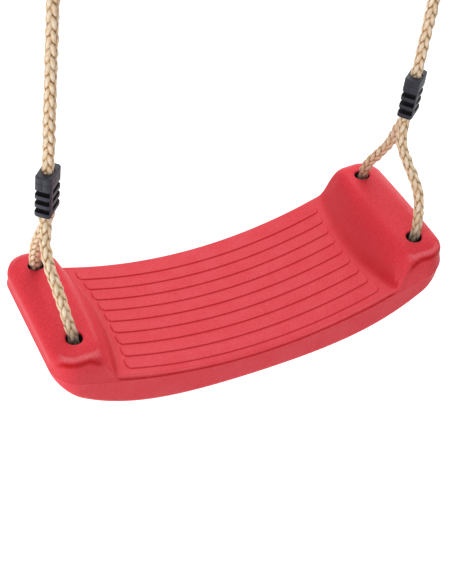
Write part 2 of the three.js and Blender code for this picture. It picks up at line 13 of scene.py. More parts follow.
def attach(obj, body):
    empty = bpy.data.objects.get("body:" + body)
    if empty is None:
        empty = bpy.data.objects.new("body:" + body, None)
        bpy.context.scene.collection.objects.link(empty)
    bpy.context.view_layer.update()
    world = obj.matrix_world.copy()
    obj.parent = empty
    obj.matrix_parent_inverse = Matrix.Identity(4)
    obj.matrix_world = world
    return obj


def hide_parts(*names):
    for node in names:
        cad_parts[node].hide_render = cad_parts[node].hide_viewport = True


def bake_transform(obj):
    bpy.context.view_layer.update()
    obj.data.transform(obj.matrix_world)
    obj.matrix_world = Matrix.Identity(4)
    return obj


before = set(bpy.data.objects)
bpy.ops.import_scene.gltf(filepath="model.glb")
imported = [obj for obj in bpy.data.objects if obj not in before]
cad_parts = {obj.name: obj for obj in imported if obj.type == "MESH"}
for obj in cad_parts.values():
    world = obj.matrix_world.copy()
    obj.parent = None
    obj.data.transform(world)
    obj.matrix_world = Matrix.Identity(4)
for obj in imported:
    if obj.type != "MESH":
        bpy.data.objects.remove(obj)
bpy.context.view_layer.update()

# Sizes in millimetres, in a drawing whose zero is the top of the middle strip's middle
# The seat's outline and its dished deck
SEAT_LENGTH = 389.2
SEAT_WIDTH = 153
CORNER_RADIUS = 23.4
CORNER_STEPS = 20
DECK_RADIUS = 393.7
DECK_ARC_END = 125
DECK_CROWN = 1
DECK_CROWN_AT = 66

# The lugs and the slopes that lead up to them
LUG_HEIGHT = 59.4
LUG_CROWN = 3
LUG_CROWN_AT = 72
LUG_TILT = 0.015
SLOPE_START = 124
SLOPE_START_FLARE = 12.8
SLOPE_LENGTH = 30
SLOPE_LENGTH_FLARE = -12
SLOPE_FOOT = 0.5

# The panel's rolled edge, tight on the deck and the lugs and broad down the slopes and round the ends
DECK_EDGE_HEIGHT = 4.1
DECK_EDGE_WIDTH = 3.6
LUG_EDGE_HEIGHT = 6.4
LUG_ROLL_WIDTH = 3.8
SLOPE_ROLL_HEIGHT = 14
SLOPE_ROLL_WIDTH = 10
END_ROLL_HEIGHT = 12
END_ROLL_WIDTH = 6.5
LUG_DROOP = 2.6
LUG_DROOP_WIDTH = 12
EDGE_LOW = 5
EDGE_HIGH = 26
EDGE_MOST = 0.75
ROLL_STEPS = 12
# Parts of the roll over which its painted shade grows and its painted highlight fades
ROLL_DARKENS = (6.5, 12)
ROLL_PALES = (3.5, 7.5)

# Where the edge changes, from and to, in shares of the way up a slope
ROLL_GROWS = (0, 0.7)
ROLL_LOWER_UNTIL = (0.8, 1.5)
ROLL_WIDER_UNTIL = (0.6, 1.2)
STEP_ENDS = (-0.1, 0.3)
STEP_RETURNS = (0.7, 1.1)
SIDE_FADE = (0.1, 0.6)

# The step at the edge's foot, as shares of its reach, its softness and its painted shade, from the foot down
EDGE_STEP = 0.4
DECK_STEP_SOFT = 0.45
LUG_STEP_SOFT = 5
STEP_LEAST_DROP = 0.62
STEP_SECTION = ((1, 0, 1), (1, 0.12, 1), (0.85, 0.35, 0.85), (0.4, 0.65, 0.5), (0.08, 0.9, 0.2))

# The walls, the bead on the parting line, as insets and rises, and the skirt
WALL_DRAFT = 0.12
WALL_LEAST = 0.5
PARTING_DROP = 5.3
PARTING_RADIUS = 410
PARTING_EASE = 5.36
PARTING_BEAD = ((0.35, 0.75), (0.3, 0.5), (0.1, 0.36), (0, 0.15), (0, -0.15), (0.1, -0.36), (0.3, -0.5))
SEAT_DEPTH = 35.2
UNDER_RADIUS = 960
UNDER_LIFT = 40.3
SIDE_SKIRT_INSET = 1.8
END_SKIRT_INSET = 0.8
SIDE_BOTTOM_ROUND = 7.2
END_BOTTOM_ROUND = 9.7

# The strips on the deck and the grooves underneath
STRIP_COUNT = 9
STRIP_PITCH = 15.2
STRIP_HALF_WIDTH = 6.5
STRIP_HEIGHT = 1.1
STRIP_CORNER = 4.5
STRIP_HALF_LENGTH = 121.6
STRIP_FLARE = 5.2
STRIP_SOFT = 0.6
GROOVE_COUNT = 5
GROOVE_PITCH = 22
GROOVE_WIDTH = 9
GROOVE_DEPTH = 3.5
GROOVE_HALF_LENGTH = 112
GROOVE_SOFT = 2.2

# Painted shade in the creases, at the strips' edges and in the troughs at the slopes' feet, and painted
# highlight on the rolled edges
STRIP_EDGE_SHADE = 0.55
STRIP_EDGE_WIDTH = 0.65
TROUGH_SHADE = 0.22
TROUGH_FRONT_SHADE = 0.36
TROUGH_FRONT_FADE = (-55, 55)
TROUGH_AT = 0.18
TROUGH_WIDTH = 0.21
DECK_PAINTED_HIGHLIGHT = 0.2
LUG_PAINTED_HIGHLIGHT = 0.3
PAINTED_HIGHLIGHT_FADE = (0.8, 1)
SHADE_REACH = 0.4
PANEL_REACH = 0.3

# The rope, its plait, its holes and its channels
ROPE_RADIUS = 5
PLAIT_CORE_RADIUS = 3.6
PLAIT_PITCH = 11.2
STRAND_RISE = 1.6
STRAND_PAIRS = 3
HOLE_X = 168
HOLE_Y = 49.4
HOLE_RADIUS = 7.3
HOLE_EDGE_ROUND = 1.6
# Where the painted shade on the hole walls stops below the rim, how far it reaches and where it starts
HOLE_UNSHADED_RIM = 0.6
HOLE_DARK_REACH = 0.2
HOLE_DARK_FROM = 6
HOLE_STRAIGHT = 14
LEG_HELD_HEIGHT = 57
ROPE_BEND = 12
ROPE_COVER = 2.4
CHANNEL_CLEARANCE = 0.6
SEATING_GAP = 0.3

# The clamps
CLAMP_HEIGHT = 38.8
CLAMP_EXTRA_TOP = 1.4
CLAMP_WIDTH = 24.4
CLAMP_THICKNESS = 14.2
CLAMP_CORNER = 3
CLAMP_EDGE_ROUND = 1.3
CLAMP_SOFTENING = 0.45
CLAMP_LINE_DROP = 6.4
CLAMP_LINE_DEPTH = 0.3
CLAMP_SEAM_FROM = 11
CLAMP_SEAM_TO = 1.5
SLOT_COUNT = 3
SLOT_HEIGHT = 5
SLOT_PITCH = 8.6
SLOT_DEPTH = 3.2
FIRST_SLOT = 7.1
SLOT_END_WALL = 0.8
SLOT_POST = 6
# Where the slots' painted shade stops short of their rims and ends
SLOT_UNSHADED_RIM = 0.8
SLOT_MARGIN = 2
SOCKET_RADIUS = 5.7
SOCKET_DEPTH = 3.2
PAIR_SPACING = 10.4

# The rings, the rope eyes on them and the upper clamps
RING_RADIUS = 26
RING_BAR_RADIUS = 4
WELD_RISE = 0.12
WELD_SPREAD = 0.05
WELD_AT = 300
EYE_ARCH_RADIUS = 11
EYE_LENGTH = 36
UPPER_CLAMP_BOTTOM = 368

# Colours of the painted shade and painted highlight on the seat, and of the studio
PAINTED_SHADE_RED = (0.5, 0.006, 0.008)
PAINTED_HIGHLIGHT_RED = (0.95, 0.3, 0.33)
WHITE = (1, 1, 1)
FLOOR_GLOW = 0.5
WORLD_LIGHT = 0.44
FLOOR_HALF_WIDTH = 9
FLOOR_Z = -1.15

# The camera, at the photograph's viewing angle
CAMERA_PLACE = (-399.12, -777.72, 850.90)
CAMERA_RIGHT = (0.90533, -0.42303, 0.03780)
CAMERA_BACK = (-0.32777, -0.63929, 0.69561)
CAMERA_LENS = 79.44
CAMERA_SENSOR = 36

# Each side: where its lower clamp stands, how the rope leans, how the clamp is turned, and the rope's legs
LEFT = {
    "name": "left",
    "hole_x": -HOLE_X,
    "foot": Vector((-168.4, 0, 161.5)),
    "lean": 0.085,
    "turn": 49,
    "front_leg": [
        (-172.3, -6, 150), (-174.2, -9, 142.5), (-175.8, -11.6, 135.5), (-176.3, -14.8, 128.5),
        (-175.8, -19.5, 118), (-174.4, -25, 106), (-172.8, -30, 95), (-171.2, -35, 83),
        (-169.9, -40.2, 71.5), (-168.6, -45.3, 62.5), (-168.2, -48.2, 56), (-168, -49.3, 48),
    ],
    "rear_leg": [
        (-165.7, 7, 148.5), (-166.6, 13, 136), (-168.5, 19.4, 123.3), (-170.4, 25.5, 111.5),
        (-171.4, 31, 100), (-171.5, 35.3, 90), (-171.2, 39.4, 80), (-170.4, 43.2, 69.5),
        (-168.9, 47.2, 60), (-168.2, 48.8, 55), (-168, 49.3, 48),
    ],
}
RIGHT = {
    "name": "right",
    "hole_x": HOLE_X,
    "foot": Vector((173.8, 0, 165.1)),
    "lean": 0.07,
    "turn": 40,
    "front_leg": [
        (167.6, -5.4, 153), (166.2, -7.6, 146), (165.7, -10.4, 139), (166.5, -14, 132),
        (168.9, -20.4, 122), (171.5, -26, 113), (173.9, -32, 103.5), (174.9, -36.4, 94.5),
        (174.6, -39.8, 85), (173.6, -43, 75), (171.8, -46.4, 65.5), (169.4, -48.1, 58.5),
        (168.4, -48.8, 54), (168, -49.3, 47),
    ],
    "rear_leg": [
        (176.8, 6.2, 153.5), (175.9, 11.6, 141), (175.3, 16.2, 128), (174.5, 21, 116),
        (172.8, 26.8, 104), (170.4, 33.6, 92), (168.6, 39.4, 82), (167.8, 43.6, 72),
        (167.8, 46, 64), (167.9, 47.8, 56), (168, 49, 48),
    ],
}


# Where each side hangs
def hang_direction(side):
    return Vector((side["lean"], 0, 1)).normalized()


def distance_to(side, z):
    return (z - side["foot"].z) / hang_direction(side).z


def hang_point(side, z):
    return side["foot"] + hang_direction(side) * distance_to(side, z)


def pair_direction(side):
    turn = radians(side["turn"])
    across = Vector((cos(turn), sin(turn), 0))
    hang = hang_direction(side)
    return (across - hang * across.dot(hang)).normalized()


BAR_HEIGHT = UPPER_CLAMP_BOTTOM + CLAMP_HEIGHT + EYE_LENGTH


def bar_centre(side):
    return hang_point(side, BAR_HEIGHT)


def ring_centre(side):
    return bar_centre(side) + hang_direction(side) * RING_RADIUS


# The part's zero in the drawing: the left ring's bearing point
PART_ZERO = ring_centre(LEFT) + Vector((0, 0, RING_RADIUS - RING_BAR_RADIUS))


def placed(point):
    return (Vector(point) - PART_ZERO) / 1000


def put_in_scene(name, data):
    made = bpy.data.objects.new(name, data)
    bpy.context.collection.objects.link(made)
    return made


def make_camera():
    data = bpy.data.cameras.new("camera")
    camera = put_in_scene("camera", data)
    right = Vector(CAMERA_RIGHT).normalized()
    back = Vector(CAMERA_BACK).normalized()
    up = back.cross(right).normalized()
    turned = Matrix((up.cross(back), up, back)).transposed().to_4x4()
    camera.matrix_world = Matrix.Translation(placed(CAMERA_PLACE)) @ turned
    data.lens = CAMERA_LENS
    data.sensor_width = CAMERA_SENSOR
    data.clip_start = 0.05
    bpy.context.scene.camera = camera


make_camera()


# Helpers for meshes
def mesh_object(name, points, faces, smooth=True, edges=()):
    mesh = bpy.data.meshes.new(name)
    mesh.from_pydata([tuple(p) for p in points], edges, faces)
    mesh.validate()
    if smooth:
        mesh.shade_smooth()
    return put_in_scene(name, mesh)


def merge_points(piece, distance):
    work = bmesh.new()
    work.from_mesh(piece.data)
    bmesh.ops.remove_doubles(work, verts=work.verts, dist=distance)
    bmesh.ops.dissolve_degenerate(work, edges=work.edges, dist=distance / 10)
    bmesh.ops.recalc_face_normals(work, faces=work.faces)
    work.to_mesh(piece.data)
    work.free()


def bake(piece):
    bpy.context.view_layer.update()
    result = piece.evaluated_get(bpy.context.evaluated_depsgraph_get())
    mesh = bpy.data.meshes.new_from_object(result)
    old = piece.data
    piece.modifiers.clear()
    piece.data = mesh
    mesh.name = piece.name
    bpy.data.meshes.remove(old)


def weighed(a, b, start, end, t):
    return (end - t) / (end - start) * a + (t - start) / (end - start) * b


def smooth_line(points, spacing):
    """Points along a centripetal Catmull-Rom curve through the given ones, evenly spaced."""
    p = [np.array(q, float) for q in points]
    p = [2 * p[0] - p[1], *p, 2 * p[-1] - p[-2]]
    fine = []
    for a, b, c, d in zip(p, p[1:], p[2:], p[3:]):
        t1 = norm(b - a) ** 0.5
        t2 = t1 + norm(c - b) ** 0.5
        t3 = t2 + norm(d - c) ** 0.5
        for t in np.linspace(t1, t2, 24, endpoint=False):
            bc = weighed(b, c, t1, t2, t)
            before = weighed(weighed(a, b, 0, t1, t), bc, 0, t2, t)
            after = weighed(bc, weighed(c, d, t2, t3, t), t1, t3, t)
            fine.append(weighed(before, after, t1, t2, t))
    fine = np.array([*fine, p[-2]])
    along = np.concatenate([[0], np.cumsum(norm(np.diff(fine, axis=0), axis=1))])
    count = max(2, int(round(along[-1] / spacing)) + 1)
    even = np.linspace(0, along[-1], count)
    return np.stack([np.interp(even, along, fine[:, k]) for k in range(3)], axis=1)


def stacked_sections(sections):
    """A closed solid through sections of equal counts, with flat ends."""
    count = len(sections[0])
    points = [p for section in sections for p in section]
    faces = []
    for level in range(len(sections) - 1):
        a, b = level * count, (level + 1) * count
        faces += [(a + i, a + (i + 1) % count, b + (i + 1) % count, b + i) for i in range(count)]
    faces.append(tuple(range(count))[::-1])
    faces.append(tuple(range(len(points) - count, len(points))))
    return points, faces


def circle(radius, count):
    turns = np.linspace(0, 2 * pi, count, endpoint=False)
    return [(radius * cos(turn), radius * sin(turn)) for turn in turns]


def prism(outline, low, high):
    """An upright solid between two heights over its plan."""
    return stacked_sections([[(x, y, z) for x, y in outline] for z in (low, high)])


def swept_tube(points, radius, sides):
    """A closed tube round a line, carried along it without twist."""
    points = np.array(points, float)
    tangents = np.gradient(points, axis=0)
    tangents /= norm(tangents, axis=1)[:, None]
    side = np.cross(tangents[0], (0.3, 1, 0.2))
    side /= norm(side)
    angles = np.linspace(0, 2 * pi, sides, endpoint=False)
    rings = []
    for point, tangent in zip(points, tangents):
        side = side - tangent * side.dot(tangent)
        side /= norm(side)
        other = np.cross(tangent, side)
        rings.append([point + radius * (cos(a) * side + sin(a) * other) for a in angles])
    return stacked_sections(rings)


# Rope routes
def under_height(x):
    return x * x / (2 * UNDER_RADIUS) - SEAT_DEPTH + UNDER_LIFT * (2 * x / SEAT_LENGTH) ** 4


RUN_HEIGHT = under_height(HOLE_X) + ROPE_COVER + ROPE_RADIUS


def under_seat_route(hole_x):
    """Down the front hole, back along the channel and up the rear hole."""
    points = []

    def turn(y, start, end):
        for share in (0, 0.25, 0.5, 0.75, 1):
            angle = radians(start + (end - start) * share)
            z = RUN_HEIGHT + ROPE_BEND + ROPE_BEND * sin(angle)
            points.append((hole_x, y + ROPE_BEND * cos(angle), z))

    straight_top = RUN_HEIGHT + ROPE_BEND + HOLE_STRAIGHT
    points.append((hole_x, -HOLE_Y, straight_top))
    turn(-HOLE_Y + ROPE_BEND, 180, 270)
    points.append((hole_x, 0, RUN_HEIGHT))
    turn(HOLE_Y - ROPE_BEND, -90, 0)
    points.append((hole_x, HOLE_Y, straight_top))
    return points


def leg_end(side, sign, drop):
    return side["foot"] + pair_direction(side) * sign * PAIR_SPACING / 2 - hang_direction(side) * drop


def loop_route(side):
    return [
        leg_end(side, -1, SEATING_GAP),
        leg_end(side, -1, SEATING_GAP + 4),
        *side["front_leg"],
        *under_seat_route(side["hole_x"]),
        *reversed(side["rear_leg"]),
        leg_end(side, 1, SEATING_GAP + 4),
        leg_end(side, 1, SEATING_GAP),
    ]


def line_route(side):
    direction = hang_direction(side)
    bottom = side["foot"] + direction * (CLAMP_HEIGHT - SOCKET_DEPTH + SEATING_GAP)
    top = hang_point(side, UPPER_CLAMP_BOTTOM) + direction * (SOCKET_DEPTH - SEATING_GAP)
    return [bottom, bottom.lerp(top, 0.33), bottom.lerp(top, 0.67), top]


def upper_clamp_top(side):
    return distance_to(side, UPPER_CLAMP_BOTTOM) + CLAMP_HEIGHT


def eye_route(side):
    direction = hang_direction(side)

    def place(y, along):
        point = bar_centre(side) + direction * along
        point.y = y
        return point

    arch_centre = RING_BAR_RADIUS + SEATING_GAP + ROPE_RADIUS - EYE_ARCH_RADIUS
    foot = upper_clamp_top(side) + SEATING_GAP - distance_to(side, BAR_HEIGHT)
    half = PAIR_SPACING / 2
    legs = [(half, foot), (half, foot + 3), (half + 1.2, foot + 9)]
    points = [place(-y, along) for y, along in legs]
    for degrees in (195, 165, 135, 110, 90, 70, 45, 15, -15):
        angle = radians(degrees)
        y = EYE_ARCH_RADIUS * cos(angle)
        points.append(place(y, arch_centre + EYE_ARCH_RADIUS * sin(angle)))
    return points + [place(y, along) for y, along in reversed(legs)]


# The seat's surfaces, as heights over its plan
def smooth_step(value, low, high):
    t = min(max((value - low) / (high - low), 0), 1)
    return t * t * (3 - 2 * t)


def blend(a, b, share):
    return a + (b - a) * share


def deck_height(x, y):
    in_arc = min(abs(x), DECK_ARC_END)
    root = sqrt(DECK_RADIUS**2 - in_arc**2)
    along = DECK_RADIUS - root + (abs(x) - in_arc) * in_arc / root
    return along - STRIP_HEIGHT - DECK_CROWN * (y / DECK_CROWN_AT) ** 2


def lug_height(x, y):
    return LUG_HEIGHT + LUG_TILT * (abs(x) - HOLE_X) - LUG_CROWN * (y / LUG_CROWN_AT) ** 2


def slope_share(x, y):
    """How far up a slope a point lies, 0 at its foot and 1 at its top."""
    side = (y / LUG_CROWN_AT) ** 2
    start = SLOPE_START + SLOPE_START_FLARE * side
    return (abs(x) - start) / (SLOPE_LENGTH + SLOPE_LENGTH_FLARE * side)


def panel_height(x, y):
    share = min(max(slope_share(x, y), 0), 1)
    rise = share**2 / SLOPE_FOOT if share < SLOPE_FOOT else 1 - (1 - share) ** 2 / (1 - SLOPE_FOOT)
    return blend(deck_height(x, y), lug_height(x, y), rise)


def nearest_bar(y, pitch, count):
    """The bar nearest to y, counted from the middle one."""
    half = (count - 1) / 2
    return min(max(round(y / pitch), -half), half)


def outside_bar(x, y, half_length, half_width, corner):
    """How far a point lies outside a bar along X with rounded corners, less than 0 inside it."""
    dx = abs(x) - half_length + corner
    dy = abs(y) - half_width + corner
    return hypot(max(dx, 0), max(dy, 0)) + min(max(dx, dy), 0) - corner


def outside_strip(x, y):
    place = nearest_bar(y, STRIP_PITCH, STRIP_COUNT)
    half_length = STRIP_HALF_LENGTH + STRIP_FLARE * (place / ((STRIP_COUNT - 1) / 2)) ** 2
    return outside_bar(x, y - place * STRIP_PITCH, half_length, STRIP_HALF_WIDTH, STRIP_CORNER)


def strip_rise(x, y):
    return STRIP_HEIGHT * (1 - smooth_step(outside_strip(x, y), -STRIP_SOFT, 0))


def strip_edge(x, y):
    """1 at the foot of a strip's edge, 0 a little way off."""
    return max(0.0, 1 - abs(outside_strip(x, y) + 0.1) / STRIP_EDGE_WIDTH)


def groove_rise(x, y):
    place = nearest_bar(y, GROOVE_PITCH, GROOVE_COUNT)
    round_end = GROOVE_WIDTH / 2
    outside = outside_bar(x, y - place * GROOVE_PITCH, GROOVE_HALF_LENGTH, round_end, round_end)
    return GROOVE_DEPTH * (1 - smooth_step(outside, -GROOVE_SOFT, 0))


def top_height(x, y):
    return panel_height(x, y) + strip_rise(x, y)


def bottom_height(x, y):
    return under_height(x) + groove_rise(x, y)


def parting_height(x):
    return x * x / (2 * PARTING_RADIUS) - PARTING_DROP - PARTING_EASE * (2 * x / SEAT_LENGTH) ** 4


# The seat's skin, station by station round its outline
# A station is a corner's centre or a point level with one, and the outline's direction from it
Station = namedtuple("Station", "x y nx ny")
INNER_X = SEAT_LENGTH / 2 - CORNER_RADIUS
INNER_Y = SEAT_WIDTH / 2 - CORNER_RADIUS


def mirrored(half):
    return [-v for v in reversed(half[1:])] + list(half)


def length_lines():
    """Where the lines across the skin are, closest at the strips' ends and on the slopes."""
    middle = np.linspace(0, 112, 26)[:-1]
    strip_ends = np.linspace(112, 128, 37)[:-1]
    slope = np.linspace(128, 157, 27)[:-1]
    lug = np.linspace(157, INNER_X, 9)
    return mirrored([*middle, *strip_ends, *slope, *lug])


def width_lines():
    """Where the lines along the skin are, closest at the strips' edges."""
    edge = (-1.3, -0.95, -0.7, -0.45, -0.2, 0, 0.3)
    places = {0.0}
    for place in range(5):
        steps = [side * (STRIP_HALF_WIDTH + step) for side in (-1, 1) for step in edge]
        places.update(place * STRIP_PITCH + step for step in (*steps, -3, 3))
        places.add((place + 0.5) * STRIP_PITCH)
    return mirrored(sorted(y for y in places if 0 <= y < INNER_Y - 0.15) + [INNER_Y])


def outline_stations(x_lines, y_lines):
    """The stations round the outline: each side's, and then those of the corner it ends at."""
    sides = (
        (1, 0, [(INNER_X, y) for y in y_lines]),
        (0, 1, [(x, INNER_Y) for x in reversed(x_lines)]),
        (-1, 0, [(-INNER_X, y) for y in reversed(y_lines)]),
        (0, -1, [(x, -INNER_Y) for x in x_lines]),
    )
    stations = []
    for quarter, (nx, ny, places) in enumerate(sides):
        stations += [Station(x, y, nx, ny) for x, y in places[:-1]]
        for angle in np.linspace(90 * quarter, 90 * quarter + 90, CORNER_STEPS, endpoint=False):
            turn = radians(angle)
            stations.append(Station(*places[-1], cos(turn), sin(turn)))
    return stations


def plan_place(station, inset):
    """The place at a station that lies a given way in from the outline."""
    reach = CORNER_RADIUS - inset
    return station.x + station.nx * reach, station.y + station.ny * reach


# The panel's edge at a station: heights of the parting line and of the roll's foot over it, the roll's size,
# the wall's lean, how far in the roll starts, the shares of a lug's edge and of a step, the panel's droop,
# and how strong the painted highlight on the edge is
PanelEdge = namedtuple("PanelEdge", "parting foot height width wall inward lug step droop droop_width rubbed")


def panel_edge(station):
    parting = parting_height(plan_place(station, 0)[0])
    at_side = smooth_step(station.ny**2, *SIDE_FADE)
    end_width = blend(END_ROLL_WIDTH, LUG_ROLL_WIDTH, at_side)
    end_height = blend(END_ROLL_HEIGHT, LUG_EDGE_HEIGHT, at_side)
    inward = DECK_EDGE_WIDTH + EDGE_STEP
    for _ in range(4):
        place = plan_place(station, inward)
        rise = panel_height(*place) - parting
        up = slope_share(*place)
        lug = smooth_step(rise, EDGE_LOW, EDGE_HIGH)
        grown = smooth_step(up, *ROLL_GROWS)
        lowered = grown * (1 - smooth_step(up, *ROLL_LOWER_UNTIL))
        widened = grown * (1 - smooth_step(up, *ROLL_WIDER_UNTIL))
        height = blend(blend(DECK_EDGE_HEIGHT, end_height, lug), SLOPE_ROLL_HEIGHT, lowered)
        width = blend(blend(DECK_EDGE_WIDTH, end_width, lug), SLOPE_ROLL_WIDTH, widened)
        height = min(height, max(EDGE_MOST * rise, min(rise - WALL_LEAST, DECK_EDGE_HEIGHT)))
        foot = rise - height
        wall = WALL_DRAFT * foot
        step = at_side * (1 - smooth_step(up, *STEP_ENDS) * (1 - smooth_step(up, *STEP_RETURNS)))
        inward = wall + EDGE_STEP * step + width
    droop = LUG_DROOP * lug
    droop_width = min(LUG_DROOP_WIDTH, CORNER_RADIUS - inward)
    rubbed = blend(DECK_PAINTED_HIGHLIGHT, LUG_PAINTED_HIGHLIGHT, lug) * step
    return PanelEdge(parting, foot, height, width, wall, inward, lug, step, droop, droop_width, rubbed)


PANEL_RINGS = (
    CORNER_RADIUS, 22.5, 22.2, 21.95, 21.7, 21.45, 21.2, 19.8, 18.4, 17, 15.6, 14.2, 12.9, 11.7,
    10.35, 10.1, 9.85, 9.6, 9.35, 9.15, 8.95, 8.6, 7.8,
)


# Rows down the skin at a station: each an inset, a height, as a number or a surface, and a painted shade
def drooped(surface, drop):
    return lambda x, y: surface(x, y) - drop


def panel_rows(edge):
    """From the panel's inner seam to where its edge starts to roll."""
    last_ring = PANEL_RINGS[-1]
    last = max(last_ring, edge.inward + 0.7)
    stretch = (CORNER_RADIUS - last) / (CORNER_RADIUS - last_ring)
    levels = [(last + (ring - last_ring) * stretch, top_height) for ring in PANEL_RINGS]
    levels.append(((last + edge.inward) / 2, panel_height))
    rows = []
    for inset, surface in levels:
        near = max(0.0, 1 - (inset - edge.inward) / edge.droop_width)
        # Painted highlight on the panel beside its edge
        pale = edge.rubbed * smooth_step(near, *PAINTED_HIGHLIGHT_FADE)
        rows.append((inset, drooped(surface, edge.droop * near**2), -pale))
    return rows


def roll_rows(edge):
    """Down the rolled edge, from the drooping panel to the step at its foot."""
    fall = edge.height - edge.droop
    slant = 2 * edge.droop / edge.droop_width
    start = atan2(fall, slant * edge.width)
    top_inset = edge.width * cos(start)
    stretch = edge.width / (edge.width - top_inset)
    rise = fall / sin(start)
    rows = []
    for part in range(ROLL_STEPS):
        turn = start * (1 - part / ROLL_STEPS)
        bend = (edge.width * cos(turn) - top_inset) * stretch
        # Painted shade grows towards the step, and painted highlight fades from the roll's top
        dark = edge.step * smooth_step(part, *ROLL_DARKENS)
        pale = edge.rubbed * (1 - smooth_step(part, *ROLL_PALES))
        rows.append((edge.inward - bend, edge.parting + edge.foot + rise * sin(turn), dark - pale))
    return rows


def wall_rows(edge):
    """Down the step, the wall and the bead on the parting line."""
    reach = EDGE_STEP * edge.step
    foot = edge.parting + edge.foot
    soft = blend(DECK_STEP_SOFT, min(LUG_STEP_SOFT, edge.foot / 2), edge.lug)
    rows = []
    # Painted shade in the step under the edge
    for out, down, shade in STEP_SECTION:
        rows.append((edge.wall + reach * out, foot - soft * down, edge.step * shade))
    wall_top = foot - max(soft * 1.1, STEP_LEAST_DROP)
    bead_inset, bead_rise = PARTING_BEAD[0]
    bead_top = edge.parting + min(bead_rise, max(wall_top - edge.parting, 0))
    for part in (0, 0.25, 0.5, 0.75):
        rows.append((blend(edge.wall, bead_inset, part), blend(wall_top, bead_top, part), 0))
    squeeze = min(1, max(wall_top - edge.parting, 0.05) / bead_rise)
    for inset, rise in PARTING_BEAD:
        rows.append((inset, edge.parting + (rise * squeeze if rise > 0 else rise), 0))
    return rows


def down_skirt(top, bottom, part):
    """The surface part of the way down the skirt, to where its bottom edge starts to bend."""
    return lambda x, y: blend(top, under_height(x) + bottom, part)


def skirt_rows(edge, side):
    """Down the skirt and in underneath; side is 1 on a long side and 0 on an end."""
    inset = blend(END_SKIRT_INSET, SIDE_SKIRT_INSET, side)
    bend = blend(END_BOTTOM_ROUND, SIDE_BOTTOM_ROUND, side)
    bead_inset, bead_rise = PARTING_BEAD[-1]
    top = edge.parting + bead_rise
    rows = []
    for part in (0.2, 0.4, 0.6, 0.8, 1):
        rows.append((blend(bead_inset, inset, part), down_skirt(top, bend, part), 0))
    for angle in range(9, 91, 9):
        turn = radians(angle)
        rows.append((inset + bend * (1 - cos(turn)), down_skirt(top, bend * (1 - sin(turn)), 1), 0))
    rows += [(inset, bottom_height, 0) for inset in (14, 18, CORNER_RADIUS)]
    return rows


def station_points(station):
    """Points down the skin, each with its painted shade, or painted highlight where under 0."""
    edge = panel_edge(station)
    rows = [*panel_rows(edge), *roll_rows(edge), *wall_rows(edge), *skirt_rows(edge, station.ny**2)]
    points = []
    for inset, height, shade in rows:
        x, y = plan_place(station, inset)
        z = height(x, y) if callable(height) else height
        points.append(((x, y, z), shade))
    return points


def seat_skin():
    """The seat's skin before its holes are cut, and the painted shades of the points at its edge."""
    x_lines, y_lines = length_lines(), width_lines()
    columns = [station_points(station) for station in outline_stations(x_lines, y_lines)]
    levels = len(columns[0])
    points = [point for column in columns for point, _ in column]
    shades = [shade for column in columns for _, shade in column]
    faces = []
    for i in range(len(columns)):
        here, there = i * levels, ((i + 1) % len(columns)) * levels
        for level in range(levels - 1):
            faces.append((here + level, here + level + 1, there + level + 1, there + level))
    across = len(y_lines)
    for height, flip in ((top_height, False), (bottom_height, True)):
        first = len(points)
        points += [(x, y, height(x, y)) for x in x_lines for y in y_lines]
        for i in range(len(x_lines) - 1):
            for a in range(first + i * across, first + (i + 1) * across - 1):
                face = (a, a + across, a + across + 1, a + 1)
                faces.append(face[::-1] if flip else face)
    return points, faces, shades


def hole_cutter(hole_x, hole_y):
    """A hole with its rounded rim, which leans as the lug's top does."""
    bottom = RUN_HEIGHT + ROPE_BEND - 0.7
    rim = lug_height(hole_x, hole_y)
    profile = [(0, bottom), (HOLE_RADIUS, bottom)]
    for share in (0, 0.12, 0.25, 0.4, 0.55, 0.7, 0.85, 1):
        turn = share * pi / 2
        radius = HOLE_RADIUS + HOLE_EDGE_ROUND * (1 - cos(turn))
        profile.append((radius, rim - HOLE_EDGE_ROUND * (1 - sin(turn))))
    profile += [(HOLE_RADIUS + HOLE_EDGE_ROUND + 0.6, rim + 0.12), (HOLE_RADIUS + 3, rim + 2), (0, rim + 2)]
    lean_x = lug_height(hole_x + 1, hole_y) - rim
    lean_y = lug_height(hole_x, hole_y + 0.5) - lug_height(hole_x, hole_y - 0.5)
    sections = []
    for radius, z in profile:
        lean = z > bottom + 1
        around = circle(radius, 72)
        sections.append([(hole_x + x, hole_y + y, z + lean * (lean_x * x + lean_y * y)) for x, y in around])
    return stacked_sections(sections)


def channel_slot(hole_x):
    """The open side of the rope's channel, below the rope's bends."""
    bend_top = RUN_HEIGHT + ROPE_BEND
    bend_y = HOLE_Y - ROPE_BEND
    end_y = HOLE_Y + ROPE_RADIUS + CHANNEL_CLEARANCE + 0.4
    low = under_height(HOLE_X) - 8
    outline = [(-end_y, low), (end_y, low), (end_y, bend_top), (HOLE_Y, bend_top)]
    for y, first, last in ((bend_y, -9, -90), (-bend_y, -90, -180)):
        for angle in range(first, last - 1, -9):
            turn = radians(angle)
            outline.append((y + ROPE_BEND * cos(turn), bend_top + ROPE_BEND * sin(turn)))
    outline.append((-end_y, bend_top))
    half = ROPE_RADIUS + SEATING_GAP
    return stacked_sections([[(x, y, z) for y, z in outline] for x in (hole_x - half, hole_x + half)])


def cut(piece, cutters, softening=0):
    """Cuts solids out of a piece, softens its sharp edges, and takes the cutters away."""
    for cutter in cutters:
        modifier = piece.modifiers.new(cutter.name, "BOOLEAN")
        modifier.operation = "DIFFERENCE"
        modifier.solver = "MANIFOLD"
        modifier.object = cutter
    if softening:
        soften = piece.modifiers.new("soften", "BEVEL")
        soften.width = softening
        soften.segments = 3
        soften.limit_method = "ANGLE"
        soften.angle_limit = radians(40)
    bake(piece)
    for cutter in cutters:
        bpy.data.objects.remove(cutter)


